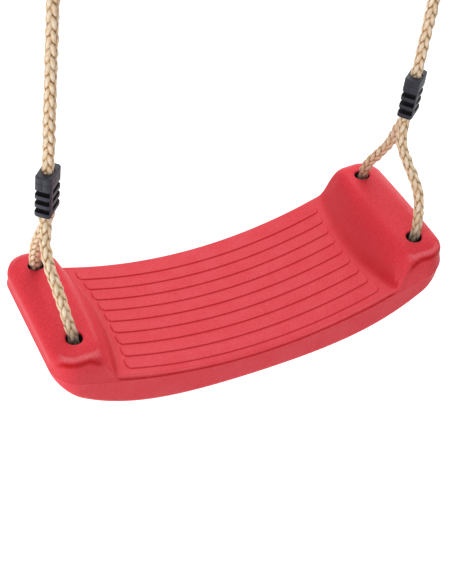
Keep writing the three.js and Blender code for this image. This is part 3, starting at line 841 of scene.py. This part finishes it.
def finish_mesh(piece, angle=180):
    """Moves a mesh from the drawing to the part's frame, smooth but for edges over an angle."""
    piece.data.transform(Matrix.Scale(0.001, 4) @ Matrix.Translation(-PART_ZERO))
    piece.data.shade_smooth()
    if angle < 180:
        piece.data.set_sharp_from_angle(angle=radians(angle))


def paint_shade_inside(piece, material, hidden):
    """Gives the faces whose middles are hidden away, in a hole or a slot, a darker material: painted shade.
    """
    piece.data.materials.append(material)
    for face in piece.data.polygons:
        if hidden(*face.center):
            face.material_index = 1


def in_hole(x, y, z):
    """Whether a place is on a hole's wall, below its rounded rim, where shade is painted."""
    from_axis = hypot(abs(x) - HOLE_X, abs(y) - HOLE_Y)
    top = lug_height(x, y) - HOLE_EDGE_ROUND - HOLE_UNSHADED_RIM
    return from_axis < HOLE_RADIUS + HOLE_DARK_REACH and RUN_HEIGHT + HOLE_DARK_FROM < z < top


def paint_shade_and_highlight(piece, points, shades):
    """Stores each point's painted shade and painted highlight for the seat's material."""
    near = KDTree(len(shades))
    for index, point in enumerate(points[:len(shades)]):
        near.insert(point, index)
    near.balance()
    values = []
    for vertex in piece.data.vertices:
        x, y, z = vertex.co
        _, index, distance = near.find(vertex.co)
        value = shades[index] if distance < SHADE_REACH else 0.0
        if abs(z - top_height(x, y)) < PANEL_REACH:
            # Painted shade in the trough at each slope's foot, deepest towards the front
            trough = TROUGH_SHADE + TROUGH_FRONT_SHADE * smooth_step(-y, *TROUGH_FRONT_FADE)
            value += trough * exp(-(((slope_share(x, y) - TROUGH_AT) / TROUGH_WIDTH) ** 2))
            # Painted shade at the foot of each strip's edge
            if strip_rise(x, y) < STRIP_HEIGHT:
                value = max(value, STRIP_EDGE_SHADE * strip_edge(x, y))
        values.append(value)
    store = piece.data.attributes.new("painted_shade_and_highlight", "FLOAT", "POINT")
    store.data.foreach_set("value", values)


def mould_seat():
    points, faces, shades = seat_skin()
    piece = mesh_object("moulded_seat", points, faces)
    merge_points(piece, 1e-3)
    shapes = []
    for x in (-HOLE_X, HOLE_X):
        bent = smooth_line(under_seat_route(x), spacing=1.5)
        shapes.append(swept_tube(bent, ROPE_RADIUS + CHANNEL_CLEARANCE, sides=40))
        shapes.append(channel_slot(x))
        shapes += [hole_cutter(x, -HOLE_Y), hole_cutter(x, HOLE_Y)]
    cutters = [mesh_object("seat cutter", *shape, smooth=False) for shape in shapes]
    for cutter in cutters:
        merge_points(cutter, 1e-4)
    cut(piece, cutters)
    piece.data.materials.clear()
    piece.data.materials.append(RED)
    # Painted shade: near-black hole walls below the rims
    paint_shade_inside(piece, HOLE_PAINTED_SHADE, in_hole)
    paint_shade_and_highlight(piece, points, shades)
    finish_mesh(piece, angle=38)
    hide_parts("seat")
    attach(piece, "seat")


# Node trees
class NodeTree:
    """Adds nodes to a tree. Their inputs, by name or number, are values or other nodes."""

    def __init__(self, tree):
        self.tree = tree

    def add(self, kind, inputs=None, **settings):
        node = self.tree.nodes.new(kind)
        for name, value in settings.items():
            setattr(node, name, value)
        for name, value in (inputs or {}).items():
            self.give(node.inputs[name], value)
        return node

    def give(self, socket, value):
        if isinstance(value, bpy.types.Node):
            value = value.outputs[0]
        if isinstance(value, bpy.types.NodeSocket):
            self.tree.links.new(value, socket)
        elif socket.type == "RGBA":
            socket.default_value = (*value, 1)
        else:
            socket.default_value = value

    def maths(self, operation, *values):
        return self.add("ShaderNodeMath", dict(enumerate(values)), operation=operation)

    def mixed(self, factor, first, second, blend="MIX"):
        inputs = {"Factor": factor, "A": first, "B": second}
        return self.add("ShaderNodeMix", inputs, data_type="RGBA", blend_type=blend).outputs["Result"]

    def noise(self, scale, detail, roughness=0.5, place=None):
        place = place or self.add("ShaderNodeTexCoord").outputs["Object"]
        inputs = {"Vector": place, "Scale": scale, "Detail": detail, "Roughness": roughness}
        return self.add("ShaderNodeTexNoise", inputs)

    def ramp(self, value, *stops):
        node = self.add("ShaderNodeValToRGB", {0: value})
        elements = node.color_ramp.elements
        while len(elements) < len(stops):
            elements.new(0.5)
        for element, (place, colour) in zip(elements, stops):
            element.position = place
            element.color = (*colour, 1)
        return node

    def attribute(self, name):
        return self.add("ShaderNodeAttribute", attribute_name=name).outputs["Fac"]

    def between_heights(self, start, end):
        """0 at one height in the drawing and 1 at another."""
        place = self.add("ShaderNodeTexCoord").outputs["Object"]
        height = self.add("ShaderNodeSeparateXYZ", {0: place}).outputs["Z"]
        inputs = {"Value": height, "From Min": placed((0, 0, start)).z, "From Max": placed((0, 0, end)).z}
        return self.add("ShaderNodeMapRange", inputs)

    def hand_out(self, geometry, material):
        """Ends a geometry tree with whole meshes of one material."""
        whole = self.add("GeometryNodeRealizeInstances", {0: geometry})
        dressed = self.add("GeometryNodeSetMaterial", {0: whole, "Material": material})
        self.add("NodeGroupOutput", {0: dressed})
        return self.tree


def geometry_tree(name, result, inputs):
    """A new tree with named inputs, each a number or a kind, and the sockets it gets them from."""
    tree = bpy.data.node_groups.new(name, "GeometryNodeTree")
    for label, value in inputs.items():
        kind = {int: "Int", float: "Float"}.get(type(value), value)
        socket = tree.interface.new_socket(label, in_out="INPUT", socket_type=f"NodeSocket{kind}")
        if kind != value:
            socket.default_value = value
    tree.interface.new_socket(result, in_out="OUTPUT", socket_type="NodeSocketGeometry")
    nodes = NodeTree(tree)
    return nodes, nodes.add("NodeGroupInput").outputs


def grow(piece, tree, material):
    """Runs a tree on a piece, with the material it asks for, and keeps the mesh it makes."""
    modifier = piece.modifiers.new(tree.name, "NODES")
    modifier.node_group = tree
    for item in tree.interface.items_tree:
        if item.socket_type == "NodeSocketMaterial":
            modifier[item.identifier] = material
    bake(piece)


def plait_tree():
    """Sweeps a round section along a line and raises two sets of strands that cross on it."""
    nodes, given = geometry_tree("Plaited rope", "Rope", {
        "Route": "Geometry",
        "Core radius": PLAIT_CORE_RADIUS / 1000,
        "Strand rise": STRAND_RISE / 1000,
        "Plait pitch": PLAIT_PITCH / 1000,
        "Ring spacing": 0.0005,
        "Over and under": 0.5,
        "Strand pairs": STRAND_PAIRS,
        "Rope material": "Material",
    })
    maths = nodes.maths

    def kept(geometry, name, value):
        """Geometry that keeps a value on its points, and that value."""
        node = nodes.add("GeometryNodeCaptureAttribute", domain="POINT")
        node.capture_items.new("FLOAT", name)
        nodes.give(node.inputs[0], geometry)
        nodes.give(node.inputs[1], value)
        return node.outputs[0], node.outputs[1]

    route = nodes.add("GeometryNodeMeshToCurve", {0: given["Route"]})
    inputs = {"Curve": route, "Length": given["Ring spacing"]}
    even = nodes.add("GeometryNodeResampleCurve", inputs, mode="LENGTH")
    parameter = nodes.add("GeometryNodeSplineParameter").outputs
    line, along = kept(even, "Along", parameter["Length"])
    inputs = {"Resolution": 60, "Radius": given["Core radius"]}
    outline = nodes.add("GeometryNodeCurvePrimitiveCircle", inputs, mode="RADIUS")
    section, round_share = kept(outline, "Round", parameter["Factor"])
    core = nodes.add("GeometryNodeCurveToMesh", {"Curve": line, "Profile Curve": section, "Fill Caps": True})
    turns = maths("MULTIPLY", round_share, given["Strand pairs"])
    steps = maths("DIVIDE", along, given["Plait pitch"])
    wave = maths("MULTIPLY", maths("COSINE", maths("MULTIPLY", turns, 2 * pi)), given["Over and under"])

    def strands(operation):
        """One set of strands: the place across each, from -1 to 1, and its height."""
        share = maths("FRACT", maths(operation, turns, steps))
        across = maths("MULTIPLY", maths("SUBTRACT", share, 0.5), 2.0)
        rounded = maths("SUBTRACT", 1.0, maths("MULTIPLY", across, across))
        crown = maths("POWER", maths("MAXIMUM", rounded, 0.0), 0.6)
        return across, maths(operation, crown, wave)

    left_across, left_height = strands("ADD")
    right_across, right_height = strands("SUBTRACT")
    crest = maths("SUBTRACT", maths("MAXIMUM", left_height, right_height), given["Over and under"])
    over = maths("GREATER_THAN", left_height, right_height)
    under = maths("SUBTRACT", 1.0, over)
    across = maths("ADD", maths("MULTIPLY", over, left_across), maths("MULTIPLY", under, right_across))
    uneven = nodes.noise(150, 1, place=nodes.add("GeometryNodeInputPosition"))
    fullness = maths("MULTIPLY_ADD", uneven, 1.6, 0.2)
    rise = maths("MULTIPLY", maths("MULTIPLY", crest, fullness), given["Strand rise"])
    inputs = {0: nodes.add("GeometryNodeInputNormal"), "Scale": rise}
    offset = nodes.add("ShaderNodeVectorMath", inputs, operation="SCALE")
    last = nodes.add("GeometryNodeSetPosition", {"Geometry": core, "Offset": offset})
    for name, value in (("plait_crest", crest), ("plait_across", across), ("plait_along", along)):
        inputs = {"Geometry": last, "Name": name, "Value": value}
        last = nodes.add("GeometryNodeStoreNamedAttribute", inputs, data_type="FLOAT", domain="POINT")
    smooth = nodes.add("GeometryNodeSetShadeSmooth", {"Geometry": last})
    return nodes.hand_out(smooth, given["Rope material"])


# Materials
class Finish(NodeTree):
    """A new material, whose principled shader's inputs are set by name."""

    def __init__(self, name, colour, roughness):
        self.material = bpy.data.materials.new(name)
        self.material.use_nodes = True
        super().__init__(self.material.node_tree)
        self.shader = self.tree.nodes["Principled BSDF"]
        self.set("Base Color", colour)
        self.set("Roughness", roughness)

    def set(self, name, value):
        self.give(self.shader.inputs[name], value)

    def bump(self, height, strength, distance=0.0003):
        inputs = {"Strength": strength, "Distance": distance, "Height": height}
        self.set("Normal", self.add("ShaderNodeBump", inputs))


def seat_material():
    finish = Finish("moulded red plastic", (0.72, 0.03, 0.05), 0.42)
    finish.set("Specular IOR Level", 0.07)
    maths = finish.maths
    mottle = finish.noise(650, 4, 0.65)
    reds = (0.36, (0.69, 0.036, 0.052)), (0.64, (0.79, 0.055, 0.074)), (0.8, (0.87, 0.12, 0.14))
    # Painted sheen: random pale patches on the deck, slopes and skirt, none on the lugs' tops
    faint = finish.ramp(finish.noise(45, 4, 0.6), (0.38, (0.06, 0.06, 0.06)), (0.68, (0.12, 0.12, 0.12)))
    painted_sheen = maths("MULTIPLY", faint, finish.between_heights(LUG_HEIGHT - 8, LUG_HEIGHT - 32))
    with_painted_sheen = finish.mixed(painted_sheen, finish.ramp(mottle, *reds), PAINTED_HIGHLIGHT_RED)
    # Painted shade in the creases and painted highlight on the edges, made uneven by the mottle
    painted_shade_and_highlight = maths("MULTIPLY", finish.attribute("painted_shade_and_highlight"), maths("MULTIPLY_ADD", mottle, 2.4, -0.2))
    deep = finish.mixed(painted_shade_and_highlight, with_painted_sheen, PAINTED_SHADE_RED)
    finish.set("Base Color", finish.mixed(maths("MULTIPLY", painted_shade_and_highlight, -1), deep, PAINTED_HIGHLIGHT_RED))
    finish.bump(finish.noise(1100, 3), 0.4)
    return finish.material


def rope_material():
    finish = Finish("hemp coloured plait", (0.7, 0.52, 0.32), 0.85)
    inputs = {0: finish.attribute("plait_across"), 1: finish.attribute("plait_along")}
    place = finish.add("ShaderNodeCombineXYZ", inputs)
    spread = finish.add("ShaderNodeVectorMath", {0: place, 1: (14, 260, 0)}, operation="MULTIPLY")
    fibre = finish.noise(1, 4, place=spread)
    # Painted shade in the crevices between strands and painted highlight on their crests, evened out in
    # random places
    colour = finish.ramp(
        finish.attribute("plait_crest"),
        (0.0, (0.05, 0.02, 0.008)), (0.3, (0.42, 0.24, 0.11)),
        (0.55, (0.86, 0.66, 0.45)), (0.9, (1, 0.89, 0.74)),
    )
    tight = finish.ramp(finish.noise(170, 2), (0.45, (0, 0, 0)), (0.65, (0.55, 0.55, 0.55)))
    colour = finish.mixed(tight, colour, (0.86, 0.68, 0.48))
    tint = finish.ramp(finish.noise(330, 2), (0.36, (0.93, 0.81, 0.64)), (0.58, WHITE))
    fibres = finish.ramp(fibre, (0.3, (0.8, 0.75, 0.68)), (0.62, WHITE))
    # Painted shade: darkest down in the holes and at their rims, fading a little way up the legs, lighter
    # under the seat
    painted_hole_shade = finish.ramp(
        finish.between_heights(LUG_HEIGHT - 30, LUG_HEIGHT + 22),
        (0.1, (0.8, 0.78, 0.76)), (0.3, (0.14, 0.15, 0.17)), (0.56, (0.22, 0.22, 0.25)),
        (0.72, (0.75, 0.73, 0.72)), (1.0, WHITE),
    )
    for factor, tone in ((1, tint), (0.7, fibres), (1, painted_hole_shade)):
        colour = finish.mixed(factor, colour, tone, "MULTIPLY")
    finish.set("Base Color", colour)
    finish.bump(fibre, 0.6, 0.0005)
    return finish.material


def grained_material(name, colour, roughness, grain, tones, bump=0, others=()):
    """A finish whose tone and fine relief follow one grain, given as its scale and detail."""
    finish = Finish(name, colour, roughness)
    fine = finish.noise(*grain)
    for socket, value in (("Base Color", finish.ramp(fine, *tones)), *others):
        finish.set(socket, value)
    if bump:
        finish.bump(fine, bump)
    return finish.material


RED = seat_material()
# Painted shade for the holes' walls
HOLE_PAINTED_SHADE = grained_material(
    "darkened hole wall", (0.03, 0.016, 0.02), 0.6, (500, 4),
    ((0.35, (0.014, 0.01, 0.014)), (0.7, (0.05, 0.018, 0.022))), 0.3,
)
HEMP = rope_material()
BLACK = grained_material(
    "black clamp plastic", (0.02, 0.02, 0.026), 0.5, (900, 3),
    ((0.3, (0.011, 0.0125, 0.0215)), (0.7, (0.02, 0.022, 0.036))), 0.3, [("Specular IOR Level", 0.35)],
)
# Painted shade for the slots' insides, darker than the black plastic
SLOT_PAINTED_SHADE = grained_material(
    "dark clamp slot", (0.004, 0.004, 0.006), 0.8, (700, 3),
    ((0.4, (0.009, 0.009, 0.012)), (0.75, (0.022, 0.02, 0.02))), 0, [("Specular IOR Level", 0.1)],
)
STEEL = grained_material(
    "galvanised steel", (0.55, 0.56, 0.57), 0.35, (220, 5),
    ((0.35, (0.46, 0.47, 0.48)), (0.65, (0.64, 0.65, 0.66))), 0.15, [("Metallic", 1)],
)
PLAIT = plait_tree()


# Ropes
def rope(name, node, route, body):
    exit_point = route[0]
    line = smooth_line(route, spacing=2.0)
    points = [placed(p) for p in line]
    edges = [(i, i + 1) for i in range(len(points) - 1)]
    piece = mesh_object(name, points, [], smooth=False, edges=edges)
    grow(piece, PLAIT, HEMP)
    length = float(norm(np.diff(line, axis=0), axis=1).sum()) / 1000
    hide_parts(node)
    tuple(placed(exit_point))
    [tuple(p) for p in points]
    if body == "seat":
        foot, rim = points[0], placed((line[0][0], 0, LEG_HELD_HEIGHT))
        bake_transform(piece)
    else:
        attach(piece, body)


def hang_ropes(side):
    name = side["name"]
    body = f"{name}_rope"
    rope(f"{name}_plait_loop", f"{name}_rope_loop", loop_route(side), "seat")
    rope(f"{name}_plait_line", f"{name}_rope_line", line_route(side), body)
    rope(f"{name}_plait_eye", f"{name}_rope_eye", eye_route(side), body)


for side in (LEFT, RIGHT):
    hang_ropes(side)
mould_seat()


# Clamps: rounded blocks with three slots a face, and a socket for the single rope
def slot_tree():
    """Slots that repeat along a clamp: each one wraps one of its upright corners."""
    nodes, given = geometry_tree("Clamp slots", "Slots", {
        "Slot shape": "Geometry",
        "First slot": FIRST_SLOT,
        "Slot pitch": SLOT_PITCH,
        "Slot count": SLOT_COUNT,
        "Slot material": "Material",
    })
    start = nodes.add("ShaderNodeCombineXYZ", {2: given["First slot"]})
    step = nodes.add("ShaderNodeCombineXYZ", {2: given["Slot pitch"]})
    inputs = {"Count": given["Slot count"], "Start Location": start, "Offset": step}
    row = nodes.add("GeometryNodeMeshLine", inputs)
    slots = nodes.add("GeometryNodeInstanceOnPoints", {"Points": row, "Instance": given["Slot shape"]})
    return nodes.hand_out(slots, given["Slot material"])


def rounded_section(width, depth, corner, z, steps=6):
    points = []
    x, y = width / 2 - corner, depth / 2 - corner
    for quarter, (cx, cy) in enumerate(((x, y), (-x, y), (-x, -y), (x, -y))):
        for step in range(steps + 1):
            turn = (quarter + step / steps) * pi / 2
            points.append((cx + corner * cos(turn), cy + corner * sin(turn), z))
    return points


def slot_shape():
    """One slot, L-shaped in plan, round the clamp's corner at +X and -Y."""
    x, y, half = CLAMP_WIDTH / 2, CLAMP_THICKNESS / 2, SLOT_HEIGHT / 2
    outline = [
        (-x + SLOT_POST, -y - 1), (x + 1, -y - 1),
        (x + 1, y - SLOT_END_WALL), (x - SLOT_DEPTH, y - SLOT_END_WALL),
        (x - SLOT_DEPTH, -y + SLOT_DEPTH), (-x + SLOT_POST, -y + SLOT_DEPTH),
    ]
    return prism(outline, -half, half)


SLOTS = slot_tree()


def clamp_block():
    """A rounded block with the shallow line that its mould left round it."""
    height = CLAMP_HEIGHT + CLAMP_EXTRA_TOP
    ends = []
    for angle in range(0, 91, 18):
        turn = radians(angle)
        ends.append((CLAMP_EDGE_ROUND * (1 - sin(turn)), CLAMP_EDGE_ROUND * (1 - cos(turn))))
    line = [(0, -0.45), (CLAMP_LINE_DEPTH, -0.15), (CLAMP_LINE_DEPTH, 0.15), (0, 0.45)]
    levels = [*ends, *[(inset, height - CLAMP_LINE_DROP + rise) for inset, rise in line]]
    levels += [(inset, height - z) for inset, z in reversed(ends)]
    return stacked_sections([
        rounded_section(CLAMP_WIDTH - 2 * inset, CLAMP_THICKNESS - 2 * inset, CLAMP_CORNER - inset * 0.5, z)
        for inset, z in levels
    ])


def clamp_cutters():
    """The single rope's socket, the slots on both sides, and the mould's seam down both ends."""
    top = CLAMP_HEIGHT + CLAMP_EXTRA_TOP
    socket = prism(circle(SOCKET_RADIUS, 48), CLAMP_HEIGHT - SOCKET_DEPTH, top + 1)
    cutters = [mesh_object("socket cutter", *socket, smooth=False)]
    for angle in (0, 180):
        slots = mesh_object("slot cutter", *slot_shape(), smooth=False)
        slots.data.transform(Matrix.Rotation(radians(angle), 4, "Z"))
        grow(slots, SLOTS, BLACK)
        cutters.append(slots)
    deep = CLAMP_LINE_DEPTH
    for x in (-CLAMP_WIDTH / 2, CLAMP_WIDTH / 2):
        corners = [(x - deep, -deep), (x + deep, -deep), (x + deep, deep), (x - deep, deep)]
        seam = prism(corners, top - CLAMP_SEAM_FROM, top - CLAMP_SEAM_TO)
        cutters.append(mesh_object("mould line cutter", *seam, smooth=False))
    return cutters


def in_slot(x, y, z):
    """Whether a place on a clamp is deep in a slot, where shade is painted."""
    inside = min(CLAMP_WIDTH / 2 - abs(x), CLAMP_THICKNESS / 2 - abs(y))
    return inside > SLOT_UNSHADED_RIM and SLOT_MARGIN < z < CLAMP_HEIGHT - SOCKET_DEPTH - SLOT_MARGIN


def clamp(name, node, body, foot, pair, up_direction):
    piece = mesh_object(name, *clamp_block())
    cut(piece, clamp_cutters(), CLAMP_SOFTENING)
    piece.data.materials.clear()
    piece.data.materials.append(BLACK)
    # Painted shade deep in the slots
    paint_shade_inside(piece, SLOT_PAINTED_SHADE, in_slot)
    up = up_direction.normalized()
    turned_up = Matrix((pair, up.cross(pair).normalized(), up)).transposed().to_4x4()
    piece.data.transform(Matrix.Translation(foot) @ turned_up)
    finish_mesh(piece, angle=32)
    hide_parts(node)
    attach(piece, body)


# Rings: round steel bar bent to a ring and butt welded
def ring(name, node, centre):
    points, faces = [], []
    around, section = 120, 28
    for i in range(around):
        turn = 2 * pi * i / around
        from_weld = (turn - radians(WELD_AT) + pi) % (2 * pi) - pi
        bar = RING_BAR_RADIUS + WELD_RISE * exp(-((from_weld / WELD_SPREAD) ** 2))
        for j in range(section):
            bend = 2 * pi * j / section
            reach = RING_RADIUS + bar * cos(bend)
            x, z = centre.x + reach * cos(turn), centre.z + reach * sin(turn)
            points.append((x, bar * sin(bend), z))
            k, m = (i + 1) % around, (j + 1) % section
            faces.append((i * section + j, k * section + j, k * section + m, i * section + m))
    piece = mesh_object(name, points, faces)
    merge_points(piece, 1e-4)
    finish_mesh(piece)
    piece.data.materials.append(STEEL)
    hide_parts(node)
    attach(piece, "rings")


for side in (LEFT, RIGHT):
    name = side["name"]
    hang = hang_direction(side)
    body = f"{name}_rope"
    top = side["foot"] + hang * upper_clamp_top(side)
    clamp(f"{name}_lower_block", f"{name}_lower_clamp", body, side["foot"], pair_direction(side), hang)
    clamp(f"{name}_upper_block", f"{name}_upper_clamp", body, top, Vector((0, 1, 0)), -hang)
    ring(f"{name}_steel_ring", f"{name}_ring", ring_centre(side))


# The floor and the light
def seen_directly(nodes):
    """1 for what the camera sees, straight or in a gloss or through glass."""
    path = nodes.add("ShaderNodeLightPath").outputs
    value = path["Is Camera Ray"]
    for other in ("Is Glossy Ray", "Is Transmission Ray"):
        value = nodes.maths("MAXIMUM", value, path[other])
    return value


def lay_floor():
    finish = Finish("pale floor", (0.85, 0.85, 0.85), 0.9)
    strength = finish.maths("MULTIPLY", seen_directly(finish), FLOOR_GLOW)
    glow = finish.add("ShaderNodeEmission", {"Color": WHITE, "Strength": strength})
    both = finish.add("ShaderNodeAddShader", {0: finish.shader, 1: glow})
    finish.give(finish.tree.nodes["Material Output"].inputs["Surface"], both)
    half = FLOOR_HALF_WIDTH
    corners = [(x, y, FLOOR_Z) for x, y in ((-half, -half), (half, -half), (half, half), (-half, half))]
    floor = mesh_object("floor", corners, [(0, 1, 2, 3)], smooth=False)
    floor.data.materials.append(finish.material)


def light_world():
    world = bpy.data.worlds.new("studio")
    bpy.context.scene.world = world
    world.use_nodes = True
    nodes = NodeTree(world.node_tree)
    light = nodes.tree.nodes["Background"]
    nodes.give(light.inputs["Color"], WHITE)
    nodes.give(light.inputs["Strength"], WORLD_LIGHT)
    white = nodes.add("ShaderNodeBackground", {"Color": WHITE})
    mix = nodes.add("ShaderNodeMixShader", {0: seen_directly(nodes), 1: light, 2: white})
    nodes.give(nodes.tree.nodes["World Output"].inputs[0], mix)


def hang_lights():
    middle = placed((0, 0, 0))
    for name, place, size, power in (
        ("back light", (0.45, 0.85, 1.15), 1.0, 8.5),
        ("top light", (-0.1, -0.1, 1.45), 0.9, 4.5),
        ("fill light", (-1.0, -0.35, 1.1), 0.9, 3),
        ("front light", (-0.1, -1.5, -0.35), 0.9, 5.5),
        ("end light", (-1.5, -0.1, -0.3), 0.7, 10),
        ("rim light", (1.25, 1.0, 0.2), 0.6, 4),
    ):
        data = bpy.data.lights.new(name, "AREA")
        data.size = size
        data.energy = power
        lamp = put_in_scene(name, data)
        lamp.location = Vector(place) + middle
        lamp.rotation_euler = (middle - lamp.location).to_track_quat("-Z", "Y").to_euler()


lay_floor()
light_world()
hang_lights()

bpy.context.scene.view_settings.view_transform = "Standard"
